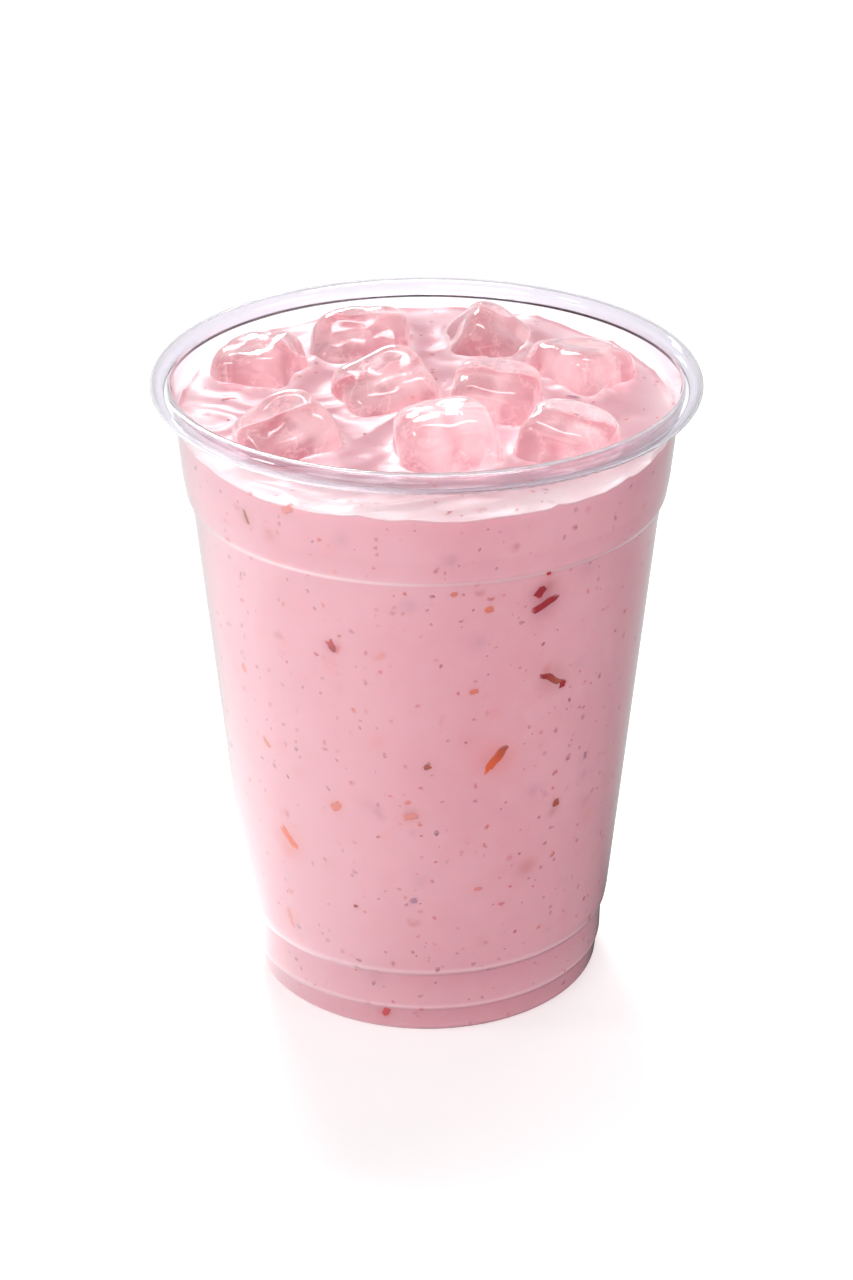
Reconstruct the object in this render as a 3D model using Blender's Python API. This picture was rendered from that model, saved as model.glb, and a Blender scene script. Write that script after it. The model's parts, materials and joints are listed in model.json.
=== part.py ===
# Iced strawberry milk in a clear plastic cup, filled to just under its rolled rim.
# Metres, +Z up, the cup's axis on Z and its foot on Z = 0. Nodes: cup, milk, ice_1 to ice_9.

import math

import bmesh
import bpy
from mathutils import Euler, Vector, noise

MM = 0.001
TOUCH = 0.01  # millimetres within which a point counts as on a line

# Cup, outside sizes in millimetres
CUP_HEIGHT = 118.0
RIM_RADIUS = 49.0
BEAD_RADIUS = 1.9  # the rim's rolled edge, outside
BEAD_START, BEAD_END = 180, -90  # degrees: where the curl leaves the wall, and where its edge ends
BEAD_STEPS = 9
WALL = 0.5
SEGMENTS = 48

FOOT_INNER, FOOT_OUTER = 28.4, 31.4  # flat ring that the cup stands on
PUSH_UP = 2.0  # the middle of the base is this far off the table
PUSH_UP_RADIUS = 27.2
BASE_RADIUS, BASE_CORNER = 32.3, 0.8
LOW_STEP_Z, LOW_STEP_RADIUS, LOW_STEP_OUT = 5.0, 32.75, 0.35
HIGH_STEP_Z, HIGH_STEP_RADIUS, HIGH_STEP_OUT = 12.7, 33.3, 0.75
BODY_FOOT_Z = 15.6  # the straight body starts here
BODY_RADIUS = 34.4  # at BODY_FOOT_Z
BODY_TAPER = 0.0979  # radius gained for each millimetre up
BODY_TOP_Z = 91.5
SHOULDER_Z, SHOULDER_RADIUS = 95.1, 42.4  # a ledge runs out from here to the neck
LEDGE_OUT, LEDGE_RISE = 0.75, 1.2
NECK_Z, NECK_RADIUS = 100.0, 43.75
NECK_TOP_Z, NECK_TOP_RADIUS = 112.0, 44.9

# Milk
GAP = 0.3  # to the wall and to each ice cube
MILK_MARGIN = 5.0  # its side has no point this close under its level
MILK_LEVEL = 110.1  # in the middle
MILK_RINGS = 9  # on its top
MILK_RISE = 2.4  # how much higher the back edge stands than the middle, and lower the front edge
RIPPLES = ((0.25, 0.21, 0.07, 0.4), (0.2, -0.10, 0.17, 2.1), (0.15, 0.05, 0.31, 4.0))  # height, x, y, phase

# Ice: one row a cube. place is its middle across and away, top its highest point, sides its three
# lengths, turn its tilt about X, tilt about Y and turn about Z in degrees. A higher square is a
# sharper cube.
ICE_CUTS = 4
ICE_DENT = 0.55
ICE_DENT_SCALE = 0.13
ICE_SEED = (7.3, 3.1, 5.7)  # each cube's number times this is its own place in the noise
ICE = (
    dict(place=(-30.3, 15.6), top=117.9, sides=(16.2, 16.2, 14.5), turn=(7, -8, -26), square=3.6),
    dict(place=(-12.0, 27.4), top=118.4, sides=(20.2, 18.0, 16.0), turn=(20, -6, -3), square=4.4),
    dict(place=(-7.0, 5.4), top=118.6, sides=(17.4, 16.2, 15.5), turn=(15, -14, 22), square=5.2),
    dict(place=(11.3, 29.8), top=118.4, sides=(18.0, 16.2, 17.0), turn=(14, 38, 4), square=4.4),
    dict(place=(28.0, 14.9), top=117.2, sides=(16.6, 19.6, 14.5), turn=(-4, 6, 41), square=3.7),
    dict(place=(12.1, 0.8), top=118.2, sides=(17.0, 16.2, 15.0), turn=(10, 6, -8), square=3.9),
    dict(place=(-24.0, -13.8), top=118.1, sides=(16.8, 16.0, 15.5), turn=(18, -20, 30), square=4.8),
    dict(place=(3.6, -18.4), top=118.4, sides=(19.4, 17.6, 16.5), turn=(4, -5, 10), square=2.9),
    dict(place=(24.5, -17.1), top=117.5, sides=(17.6, 16.2, 14.8), turn=(4, 12, -20), square=3.6),
)


def material(name, colour, roughness, alpha=1.0):
    made = bpy.data.materials.new(name)
    made.use_nodes = True
    shader = made.node_tree.nodes["Principled BSDF"]
    shader.inputs["Base Color"].default_value = (*colour, 1.0)
    shader.inputs["Roughness"].default_value = roughness
    shader.inputs["Metallic"].default_value = 0.0
    shader.inputs["Alpha"].default_value = alpha
    made.diffuse_color = (*colour, alpha)
    return made


def add_object(name, bm, made, smooth_angle=40):
    mesh = bpy.data.meshes.new(name)
    bm.to_mesh(mesh)
    bm.free()
    mesh.materials.append(made)
    mesh.shade_smooth()
    mesh.set_sharp_from_angle(angle=math.radians(smooth_angle))
    thing = bpy.data.objects.new(name, mesh)
    bpy.context.scene.collection.objects.link(thing)
    return thing


# Lines of (radius, height) points in millimetres, that turn about the cup's axis


def offset_line(line, distance):
    """The line moved sideways, to its left where distance is above 0, with mitred corners."""
    sides = []
    for a, b in zip(line, line[1:]):
        along = (Vector(b) - Vector(a)).normalized()
        sides.append(Vector((-along.y, along.x)))
    moved = []
    for i, point in enumerate(line):
        before = sides[max(i - 1, 0)]
        after = sides[min(i, len(sides) - 1)]
        mitre = (before + after).normalized()
        moved.append(Vector(point) + mitre * (distance / mitre.dot(after)))
    return [tuple(point) for point in moved]


def arc(centre, radius, start, end, steps):
    points = []
    for i in range(steps + 1):
        angle = math.radians(start + (end - start) * i / steps)
        points.append((centre[0] + radius * math.cos(angle), centre[1] + radius * math.sin(angle)))
    return points


def cup_middle_line():
    """Middle of the cup's wall, from the centre of its base to the end of its rim's curl."""
    outside = [
        (0.0, PUSH_UP),
        (PUSH_UP_RADIUS, PUSH_UP),
        (FOOT_INNER, 0.0),
        (FOOT_OUTER, 0.0),
        (BASE_RADIUS, BASE_CORNER),
        (LOW_STEP_RADIUS, LOW_STEP_Z),
        (LOW_STEP_RADIUS + LOW_STEP_OUT, LOW_STEP_Z + LOW_STEP_OUT),
        (HIGH_STEP_RADIUS, HIGH_STEP_Z),
        (HIGH_STEP_RADIUS + HIGH_STEP_OUT, HIGH_STEP_Z + HIGH_STEP_OUT),
        (BODY_RADIUS, BODY_FOOT_Z),
        (BODY_RADIUS + BODY_TAPER * (BODY_TOP_Z - BODY_FOOT_Z), BODY_TOP_Z),
        (SHOULDER_RADIUS, SHOULDER_Z),
        (SHOULDER_RADIUS + LEDGE_OUT, SHOULDER_Z + LEDGE_RISE),
        (NECK_RADIUS, NECK_Z),
        (NECK_TOP_RADIUS, NECK_TOP_Z),
    ]
    bead_middle = (RIM_RADIUS - BEAD_RADIUS, CUP_HEIGHT - BEAD_RADIUS)
    half_step = math.radians((BEAD_START - BEAD_END) / BEAD_STEPS / 2)
    bead_radius = BEAD_RADIUS - WALL / 2 / math.cos(half_step)  # its flats' corners reach the rim's size
    bead = arc(bead_middle, bead_radius, BEAD_START, BEAD_END, BEAD_STEPS)
    return offset_line(outside, WALL / 2) + bead


def turn_about_axis(line):
    """A closed solid turned from a line whose ends lie on the axis."""
    bm = bmesh.new()
    verts = [bm.verts.new((r * MM, 0.0, z * MM)) for r, z in line]
    edges = [bm.edges.new(pair) for pair in zip(verts, verts[1:])]
    bmesh.ops.spin(
        bm,
        geom=verts + edges,
        cent=(0, 0, 0),
        axis=(0, 0, 1),
        angle=math.tau,
        steps=SEGMENTS,
        use_merge=True,
    )
    bmesh.ops.remove_doubles(bm, verts=bm.verts, dist=0.001 * MM)
    bmesh.ops.recalc_face_normals(bm, faces=bm.faces)
    return bm


def make_cup():
    middle = cup_middle_line()
    inside = offset_line(middle, WALL / 2)
    outside = offset_line(middle, -WALL / 2)
    bm = turn_about_axis(inside + outside[::-1])
    return add_object("cup", bm, material("clear_plastic", (0.93, 0.95, 0.96), 0.06, 0.3))


def milk_height(x, y):
    """Height of the milk's top in millimetres."""
    height = MILK_LEVEL + MILK_RISE * y / NECK_RADIUS
    for size, across, away, phase in RIPPLES:
        height += size * math.sin(across * x + away * y + phase)
    return height


def radius_at(line, z):
    """Radius where a rising line passes a height."""
    for (r1, z1), (r2, z2) in zip(line, line[1:]):
        if z1 <= z <= z2 and z1 > BODY_FOOT_Z:
            return r1 + (r2 - r1) * (z - z1) / (z2 - z1)
    raise ValueError("no wall at this height")


def make_milk(cutters):
    wall = offset_line(cup_middle_line(), WALL / 2 + GAP)
    brim = radius_at(wall, MILK_LEVEL)
    line = [point for point in wall if point[1] < MILK_LEVEL - MILK_MARGIN]
    line += [(brim * (1 - i / MILK_RINGS), MILK_LEVEL) for i in range(MILK_RINGS + 1)]
    bm = turn_about_axis(line)
    for vert in bm.verts:
        if abs(vert.co.z / MM - MILK_LEVEL) > TOUCH:
            continue
        x, y = vert.co.x / MM, vert.co.y / MM
        z = milk_height(x, y)
        if math.hypot(x, y) > brim - TOUCH:
            grow = radius_at(wall, z) / brim
            x, y = x * grow, y * grow
        vert.co = Vector((x, y, z)) * MM
    milk = add_object("milk", bm, material("strawberry_milk", (0.93, 0.62, 0.63), 0.35))
    cut = milk.modifiers.new("round the ice", "BOOLEAN")
    cut.operation = "DIFFERENCE"
    cut.operand_type = "COLLECTION"
    cut.collection = cutters
    cut.solver = "EXACT"
    return milk


def ice_shape(row, number, grow=0.0):
    """A half-melted cube: rounded and slightly dented, and grown all round by some millimetres."""
    bm = bmesh.new()
    bmesh.ops.create_cube(bm, size=2.0)
    bmesh.ops.subdivide_edges(bm, edges=bm.edges, cuts=ICE_CUTS, use_grid_fill=True)
    bmesh.ops.triangulate(bm, faces=bm.faces, quad_method="FIXED")
    power = row["square"]
    half = Vector(row["sides"]) / 2
    seed = Vector(ICE_SEED) * number
    for vert in bm.verts:
        reach = sum(abs(part) ** power for part in vert.co) ** (-1 / power)
        point = Vector([part * reach * side for part, side in zip(vert.co, half)])
        dent = ICE_DENT * noise.noise(point * ICE_DENT_SCALE + seed)
        vert.co = point + point.normalized() * dent
    turn = Euler([math.radians(angle) for angle in row["turn"]], "XYZ").to_matrix()
    bmesh.ops.rotate(bm, verts=bm.verts, cent=(0, 0, 0), matrix=turn)
    top = max(vert.co.z for vert in bm.verts)
    bmesh.ops.translate(bm, verts=bm.verts, vec=(*row["place"], row["top"] - top))
    bm.normal_update()
    for vert in bm.verts:
        vert.co += vert.normal * grow
    bmesh.ops.scale(bm, verts=bm.verts, vec=(MM, MM, MM))
    return bm


def make_ice(cutters):
    clear = material("ice", (0.95, 0.86, 0.87), 0.05, 0.45)
    for number, row in enumerate(ICE, 1):
        add_object(f"ice_{number}", ice_shape(row, number), clear)
        cutter = add_object(f"room_for_ice_{number}", ice_shape(row, number, GAP), clear)
        bpy.context.scene.collection.objects.unlink(cutter)
        cutters.objects.link(cutter)
        cutter.hide_render = True
        cutter.display_type = "WIRE"


def main():
    for thing in list(bpy.data.objects):
        bpy.data.objects.remove(thing)
    cutters = bpy.data.collections.new("cutters")
    bpy.context.scene.collection.children.link(cutters)
    make_cup()
    make_ice(cutters)
    make_milk(cutters)


main()
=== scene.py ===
# Iced strawberry milk in a clear plastic cup, dressed and lit.
# Metres, +Z up. The cup's axis is Z and its foot stands on Z = 0.
# Sizes in the settings are millimetres; those of looks and of the stage are metres.

import json
import math
import random

import bmesh
import bpy
from mathutils import Euler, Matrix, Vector, noise
from mathutils.bvhtree import BVHTree
from mathutils.kdtree import KDTree

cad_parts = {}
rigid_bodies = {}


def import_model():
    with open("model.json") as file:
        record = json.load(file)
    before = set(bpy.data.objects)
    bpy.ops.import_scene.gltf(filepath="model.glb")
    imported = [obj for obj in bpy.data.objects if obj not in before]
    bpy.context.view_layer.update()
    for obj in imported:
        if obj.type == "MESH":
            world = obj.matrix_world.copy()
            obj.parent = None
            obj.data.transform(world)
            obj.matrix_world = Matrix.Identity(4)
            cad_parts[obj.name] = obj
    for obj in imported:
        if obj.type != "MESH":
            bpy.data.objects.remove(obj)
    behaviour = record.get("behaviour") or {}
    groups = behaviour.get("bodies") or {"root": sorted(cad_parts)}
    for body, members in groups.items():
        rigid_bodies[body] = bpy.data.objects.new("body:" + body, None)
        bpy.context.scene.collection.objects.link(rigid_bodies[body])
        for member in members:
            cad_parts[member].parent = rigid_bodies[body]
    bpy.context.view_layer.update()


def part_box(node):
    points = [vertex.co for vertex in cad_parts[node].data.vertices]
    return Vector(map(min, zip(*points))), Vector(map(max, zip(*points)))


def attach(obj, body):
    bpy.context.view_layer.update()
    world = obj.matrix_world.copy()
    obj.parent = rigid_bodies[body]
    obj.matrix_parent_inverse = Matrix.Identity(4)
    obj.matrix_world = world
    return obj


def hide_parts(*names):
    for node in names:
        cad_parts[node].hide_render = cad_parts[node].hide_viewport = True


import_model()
mm = 0.001
touching = 0.01  # millimetres within which a point counts as being there
print("frame loaded")


def makeRows(columns, rows):
    # the last columns may be left out of a row
    return [dict(zip(columns, row)) for row in rows]


# helpers for turned shapes: a line is a list of (radius, height) points in millimetres

def offsetLine(line, distance):
    # to the left of the way the line runs, with mitred corners
    sides = []
    for a, b in zip(line, line[1:]):
        along = (Vector(b) - Vector(a)).normalized()
        sides.append(Vector((-along.y, along.x)))
    moved = []
    for i, point in enumerate(line):
        before = sides[max(i - 1, 0)]
        after = sides[min(i, len(sides) - 1)]
        mitre = (before + after).normalized()
        moved.append(tuple(Vector(point) + mitre * (distance / mitre.dot(after))))
    return moved


def arcPoints(centre, radius, start, end, steps):
    angles = [math.radians(start + (end - start) * i / steps) for i in range(steps + 1)]
    return [(centre[0] + radius * math.cos(a), centre[1] + radius * math.sin(a)) for a in angles]


def roundCorners(line, reach, steps=6):
    # each corner becomes a small curve that starts up to reach before it
    mostOfSide = 0.48  # two corners never meet
    rounded = [line[0]]
    for a, b, c in zip(line, line[1:], line[2:]):
        a, b, c = Vector(a), Vector(b), Vector(c)
        start = b + (a - b).normalized() * min(reach, (a - b).length * mostOfSide)
        end = b + (c - b).normalized() * min(reach, (c - b).length * mostOfSide)
        for i in range(steps + 1):
            t = i / steps
            rounded.append(tuple(start * (1 - t) ** 2 + b * (2 * t * (1 - t)) + end * t ** 2))
    return rounded + [line[-1]]


def spreadPoints(line, spacing):
    # long straights get points of their own
    spread = [line[0]]
    for a, b in zip(line, line[1:]):
        parts = max(1, math.ceil((Vector(b) - Vector(a)).length / spacing))
        spread += [tuple(Vector(a).lerp(Vector(b), i / parts)) for i in range(1, parts + 1)]
    return spread


def radiusAt(line, z):
    return max((r1 + (r2 - r1) * (z - z1) / (z2 - z1)
                for (r1, z1), (r2, z2) in zip(line, line[1:]) if z1 != z2 and z1 <= z <= z2),
               default=line[-1][0])


def spinLine(line, segments):
    # a closed solid: both ends of the line lie on the axis
    bm = bmesh.new()
    verts = [bm.verts.new((r * mm, 0, z * mm)) for r, z in line]
    edges = [bm.edges.new(pair) for pair in zip(verts, verts[1:])]
    bmesh.ops.spin(bm, geom=verts + edges, cent=(0, 0, 0), axis=(0, 0, 1), angle=math.tau,
                   steps=segments, use_merge=True)
    bmesh.ops.remove_doubles(bm, verts=bm.verts, dist=0.001 * mm)
    bmesh.ops.recalc_face_normals(bm, faces=bm.faces)
    return bm


def toMesh(name, bm):
    mesh = bpy.data.meshes.new(name)
    bm.to_mesh(mesh)
    bm.free()
    return mesh


def placeObject(name, data):
    thing = bpy.data.objects.new(name, data)
    bpy.context.scene.collection.objects.link(thing)
    return thing


def joinInto(bm, part):
    mesh = toMesh("spare", part)
    bm.from_mesh(mesh)
    bpy.data.meshes.remove(mesh)


def addPiece(name, bm, material, nodes=(), sharpAngle=None):
    mesh = toMesh(name, bm)
    mesh.materials.append(material)
    mesh.shade_smooth()
    if sharpAngle:
        mesh.set_sharp_from_angle(angle=math.radians(sharpAngle))
    piece = placeObject(name, mesh)
    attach(piece, "root")
    if nodes:
        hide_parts(*nodes)
    return piece


# node helpers

def newMaterial(name):
    material = bpy.data.materials.new(name)
    material.use_nodes = True
    nodes = material.node_tree.nodes
    nodes.clear()
    return material, nodes, material.node_tree.links


def placeNode(nodes, kind, x, y, **values):
    node = nodes.new(kind)
    node.location = (x, y)
    for key, value in values.items():
        setattr(node, key, value)
    return node


def setInputs(node, values):
    for key, value in values.items():
        node.inputs[key].default_value = value


def feed(links, value, socket):
    # another node's output is linked, a number or colour is set on the socket itself
    if isinstance(value, bpy.types.NodeSocket):
        links.new(value, socket)
    else:
        socket.default_value = value


def mapValue(nodes, links, x, y, value, span, to=(0.0, 1.0), soft=False):
    kind = "SMOOTHSTEP" if soft else "LINEAR"
    node = placeNode(nodes, "ShaderNodeMapRange", x, y, interpolation_type=kind)
    for name, number in zip(("From Min", "From Max", "To Min", "To Max"), (*span, *to)):
        feed(links, number, node.inputs[name])
    links.new(value, node.inputs["Value"])
    return node.outputs[0]


def mixColours(nodes, links, x, y, share, first, second, kind="MIX"):
    mix = placeNode(nodes, "ShaderNodeMix", x, y, data_type="RGBA", blend_type=kind)
    for value, number in ((share, 0), (first, 6), (second, 7)):
        feed(links, value, mix.inputs[number])
    return mix.outputs[2]


def mixFloats(nodes, links, x, y, share, first, second):
    mix = placeNode(nodes, "ShaderNodeMix", x, y, data_type="FLOAT")
    for value, number in ((share, 0), (first, 2), (second, 3)):
        feed(links, value, mix.inputs[number])
    return mix.outputs[0]


def doMath(nodes, links, x, y, operation, *values):
    node = placeNode(nodes, "ShaderNodeMath", x, y, operation=operation)
    for value, socket in zip(values, node.inputs):
        feed(links, value, socket)
    return node.outputs[0]


def vectorMath(nodes, links, x, y, operation, *values):
    node = placeNode(nodes, "ShaderNodeVectorMath", x, y, operation=operation)
    for value, socket in zip(values, node.inputs):
        feed(links, value, socket)
    return node.outputs


def nearValue(nodes, links, x, y, value, middle, reach, strength=1.0):
    # strength where the value is the middle one, nothing from reach away
    off = doMath(nodes, links, x, y, "SUBTRACT", value, middle)
    away = doMath(nodes, links, x + 200, y, "ABSOLUTE", off)
    return mapValue(nodes, links, x + 400, y, away, (0.0, reach), (strength, 0.0), soft=True)


def splitParts(nodes, links, x, y, vector):
    parts = placeNode(nodes, "ShaderNodeSeparateXYZ", x, y)
    links.new(vector, parts.inputs[0])
    return parts.outputs


def objectPlace(nodes, x, y):
    return placeNode(nodes, "ShaderNodeTexCoord", x, y).outputs["Object"]


def addRamp(nodes, links, x, y, value, steps):
    ramp = placeNode(nodes, "ShaderNodeValToRGB", x, y)
    elements = ramp.color_ramp.elements
    for at, colour in steps[2:]:  # it comes with two
        elements.new(at)
    for step, (at, colour) in zip(elements, steps):
        step.position = at
        step.color = (*colour[:3], 1)
    links.new(value, ramp.inputs["Fac"])
    return ramp.outputs["Color"]


def facingAway(nodes, x, y, blend):
    facing = placeNode(nodes, "ShaderNodeLayerWeight", x, y)
    facing.inputs["Blend"].default_value = blend
    return facing.outputs["Facing"]


patchNoise = {
    "broad": {"Detail": 2.0, "Roughness": 0.5},
    "fine": {"Detail": 4.0, "Roughness": 0.6},
    "finer": 6.0,  # how much smaller the fine ones are
}


def makeUnevenGroup():
    # soft patches from two sizes of noise, used by every wet surface
    group = bpy.data.node_groups.new("unevenPatches", "ShaderNodeTree")
    for name, kind in (("Vector", "NodeSocketVector"), ("Scale", "NodeSocketFloat"),
                       ("Fine Share", "NodeSocketFloat")):
        group.interface.new_socket(name, in_out="INPUT", socket_type=kind)
    group.interface.new_socket("Mask", in_out="OUTPUT", socket_type="NodeSocketFloat")
    nodes, links = group.nodes, group.links
    inputs = placeNode(nodes, "NodeGroupInput", -700, 0).outputs
    broad = placeNode(nodes, "ShaderNodeTexNoise", -400, 150)
    fine = placeNode(nodes, "ShaderNodeTexNoise", -400, -150)
    setInputs(broad, patchNoise["broad"])
    setInputs(fine, patchNoise["fine"])
    finer = doMath(nodes, links, -560, -200, "MULTIPLY", inputs["Scale"], patchNoise["finer"])
    for node, scale in ((broad, inputs["Scale"]), (fine, finer)):
        links.new(inputs["Vector"], node.inputs["Vector"])
        links.new(scale, node.inputs["Scale"])
    mask = mixFloats(nodes, links, 0, 0, inputs["Fine Share"], broad.outputs["Fac"], fine.outputs["Fac"])
    links.new(mask, placeNode(nodes, "NodeGroupOutput", 300, 0).inputs["Mask"])
    return group


unevenPatches = makeUnevenGroup()


def addPatches(nodes, links, coords, x, y, scale, fineShare):
    patches = placeNode(nodes, "ShaderNodeGroup", x, y, node_tree=unevenPatches)
    setInputs(patches, {"Scale": scale, "Fine Share": fineShare})
    links.new(coords, patches.inputs["Vector"])
    return patches.outputs["Mask"]


def addGloss(nodes, links, mask, span, shader):
    # patches wetter than others
    gloss = mapValue(nodes, links, -350, -200, mask, (0.0, 1.0), span)
    links.new(gloss, shader.inputs["Roughness"])


def showShader(nodes, links, shader):
    output = placeNode(nodes, "ShaderNodeOutputMaterial", 750, 0)
    links.new(shader.outputs[0], output.inputs["Surface"])


def lampsPassThrough(nodes, links, shader):
    # clear things let the lamps through to the drink instead of shading it
    clear = placeNode(nodes, "ShaderNodeBsdfTransparent", 300, -300)
    path = placeNode(nodes, "ShaderNodeLightPath", 300, 300)
    mix = placeNode(nodes, "ShaderNodeMixShader", 550, 0)
    links.new(path.outputs["Is Shadow Ray"], mix.inputs[0])
    links.new(shader.outputs[0], mix.inputs[1])
    links.new(clear.outputs[0], mix.inputs[2])
    showShader(nodes, links, mix)


# cup

cupSizes = {
    "height": 118.0,
    "rimRadius": 49.0,
    "beadRadius": 1.9,
    "beadTurn": (180, -118),
    "beadSteps": 32,
    "wall": 0.45,
    "segments": 192,
    "spacing": 4.0,
    "cornerReach": 0.42,
    "pushUp": (27.2, 2.0),
    "foot": (28.4, 31.4),
    "base": (32.3, 0.8),
    "lowStep": (32.75, 5.0),
    "lowStepOut": 0.35,
    "highStep": (33.3, 12.7),
    "highStepOut": 0.75,
    "body": (34.4, 15.6),
    "bodyTop": (41.83, 91.5),
    "shoulder": (42.4, 95.1),
    "ledge": (43.15, 96.3),
    "neck": (43.75, 100.0),
    "neckTop": (44.9, 112.0),
}


def cupMiddleLine():
    s = cupSizes
    lowR, lowZ = s["lowStep"]
    highR, highZ = s["highStep"]
    outside = [
        (0.0, s["pushUp"][1]), s["pushUp"], (s["foot"][0], 0.0), (s["foot"][1], 0.0), s["base"],
        s["lowStep"], (lowR + s["lowStepOut"], lowZ + s["lowStepOut"]),
        s["highStep"], (highR + s["highStepOut"], highZ + s["highStepOut"]),
        s["body"], s["bodyTop"], s["shoulder"], s["ledge"], s["neck"], s["neckTop"],
    ]
    beadMiddle = (s["rimRadius"] - s["beadRadius"], s["height"] - s["beadRadius"])
    bead = arcPoints(beadMiddle, s["beadRadius"] - s["wall"] / 2, *s["beadTurn"], s["beadSteps"])
    line = offsetLine(outside, s["wall"] / 2)
    line = roundCorners(line + [bead[0]], s["cornerReach"])
    return spreadPoints(line[:-1] + bead, s["spacing"])


plasticLook = {
    "colour": (0.99, 0.99, 0.995, 1),
    "edgeShadeColour": (0.68, 0.66, 0.73, 1),  # painted shade where it turns away
    "bodyEdgeShade": (0.95, 0.94, 0.95, 1),  # painted shade, the same, where the milk stands behind it
    "bodyTop": (0.103, 0.108),
    "turnedAway": 0.28,
    # painted shade on the rolled rim: its grey tint and its darker rings
    "beadShadeColour": (0.955, 0.935, 0.97, 1),
    "beadFrom": (0.1125, 0.1145),
    "beadShadeRings": ((0.0, 0.88), (0.20, 0.96), (0.45, 0.98), (0.66, 1.0), (0.84, 0.94), (1.0, 0.82)),
    "beadSpan": (0.0448, 0.0490),
    "ior": 1.25,
    "coatIor": 1.5,
    "coatRoughness": 0.02,
    "roughness": (0.015, 0.06),
    "streaks": (60, 60, 6),
    "fineShare": 0.3,
}


def addBeadShade(nodes, links, place, height, colour):
    # painted shade: the rolled rim is tinted grey and darker towards its inner and outer edges
    look = plasticLook
    inBead = mapValue(nodes, links, -600, 600, height, look["beadFrom"])
    flat = vectorMath(nodes, links, -1000, 900, "MULTIPLY", place, (1, 1, 0))
    far = vectorMath(nodes, links, -800, 900, "LENGTH", flat[0])
    across = mapValue(nodes, links, -600, 900, far["Value"], look["beadSpan"])
    steps = [(at, (shade,) * 3) for at, shade in look["beadShadeRings"]]
    rings = addRamp(nodes, links, -400, 900, across, steps)
    tinted = mixColours(nodes, links, -350, 600, inBead, colour, look["beadShadeColour"], "MULTIPLY")
    return mixColours(nodes, links, -100, 600, inBead, tinted, rings, "MULTIPLY")


def makePlastic():
    look = plasticLook
    material, nodes, links = newMaterial("clearPlastic")
    shader = placeNode(nodes, "ShaderNodeBsdfPrincipled", 0, 0)
    setInputs(shader, {"IOR": look["ior"], "Transmission Weight": 1.0, "Coat Weight": 1.0,
                       "Coat IOR": look["coatIor"], "Coat Roughness": look["coatRoughness"]})
    place = objectPlace(nodes, -1200, 0)
    height = splitParts(nodes, links, -1000, 600, place)["Z"]
    overMilk = mapValue(nodes, links, -800, 400, height, look["bodyTop"])
    # painted shade: the wall is tinted darker where it turns away from the camera, less so where the milk
    # stands behind it
    edge = mixColours(nodes, links, -600, 450, overMilk, look["bodyEdgeShade"], look["edgeShadeColour"])
    away = facingAway(nodes, -600, 300, look["turnedAway"])
    tint = mixColours(nodes, links, -350, 300, away, look["colour"], edge)
    links.new(addBeadShade(nodes, links, place, height, tint), shader.inputs["Base Color"])
    streaks = placeNode(nodes, "ShaderNodeMapping", -800, 0)
    streaks.inputs["Scale"].default_value = look["streaks"]
    links.new(place, streaks.inputs["Vector"])
    mask = addPatches(nodes, links, streaks.outputs[0], -600, 0, 1.0, look["fineShare"])
    addGloss(nodes, links, mask, look["roughness"], shader)
    lampsPassThrough(nodes, links, shader)
    return material


def makeCup():
    middle = cupMiddleLine()
    half = cupSizes["wall"] / 2
    line = offsetLine(middle, half) + offsetLine(middle, -half)[::-1]
    bm = spinLine(line, cupSizes["segments"])
    return addPiece("clearCup", bm, makePlastic(), ["cup"])


# ice

iceSizes = {
    "cuts": 27,
    "hollowCuts": 13,
    "dent": (0.55, 0.13),  # depth and how close together
    "smallDent": (0.32, 0.27),
    "hollow": 0.9,  # melted in at the middle of each side
    "seed": (7.3, 3.1, 5.7),  # times the cube's number, its own place in the noise
    "sunk": 0.15,  # how far the milk reaches into it
}

iceCubes = makeRows(("sides", "turn", "square"), [
    ((16.2, 16.2, 14.5), (7, -8, -26), 3.2),
    ((20.2, 18.0, 16.0), (20, -6, -3), 3.1),
    ((17.4, 16.2, 15.5), (15, -14, 22), 4.2),
    ((18.0, 16.2, 17.0), (14, 38, 4), 3.5),
    ((16.6, 19.6, 14.5), (-4, 6, 41), 3.1),
    ((17.0, 16.2, 15.0), (10, 6, -8), 3.2),
    ((16.8, 16.0, 15.5), (18, -20, 30), 3.7),
    ((19.4, 17.6, 16.5), (4, -5, 10), 2.6),
    ((17.6, 16.2, 14.8), (4, 12, -20), 3.0),
])


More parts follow.
